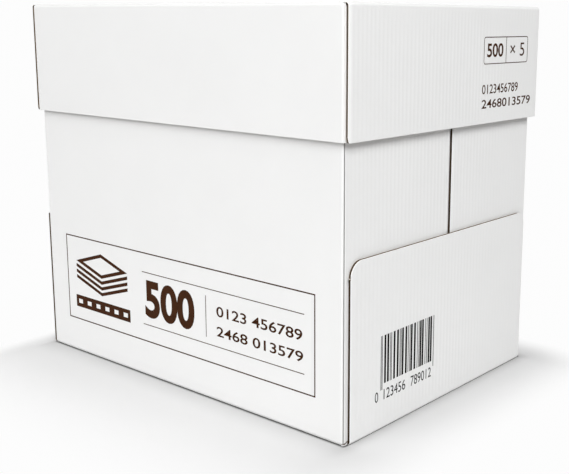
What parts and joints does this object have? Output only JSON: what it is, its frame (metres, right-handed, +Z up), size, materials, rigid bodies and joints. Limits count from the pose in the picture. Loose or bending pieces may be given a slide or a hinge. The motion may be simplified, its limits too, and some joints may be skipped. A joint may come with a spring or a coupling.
{
  "type": "copier paper carton",
  "caption": "White corrugated carton for copier paper: a deep folded tray with glued end flaps, a telescoping lid that lifts off, and a stack of wrapped reams inside.",
  "frame": {"origin": "middle of the carton's underside", "axes": "+X along the sheets' long side, towards an end of the carton; +Y along their short side, away from the printed front; +Z up"},
  "size_m": [0.3156, 0.223, 0.27],
  "materials": {
    "tray_board": "matt white-lined corrugated board",
    "lid_board": "matt white-lined corrugated board",
    "ream_wrapper": "smooth white wrapping paper"
  },
  "bodies": {
    "tray": {"tray": "tray_board", "ream_1": "ream_wrapper", "ream_2": "ream_wrapper", "ream_3": "ream_wrapper", "ream_4": "ream_wrapper", "ream_5": "ream_wrapper"},
    "lid": {"lid": "lid_board"}
  },
  "joints": [
    {"name": "lid_lift", "type": "slide", "parent": "tray", "child": "lid", "axis": [0, 0, 1], "range_m": [0, 0.12]}
  ]
}
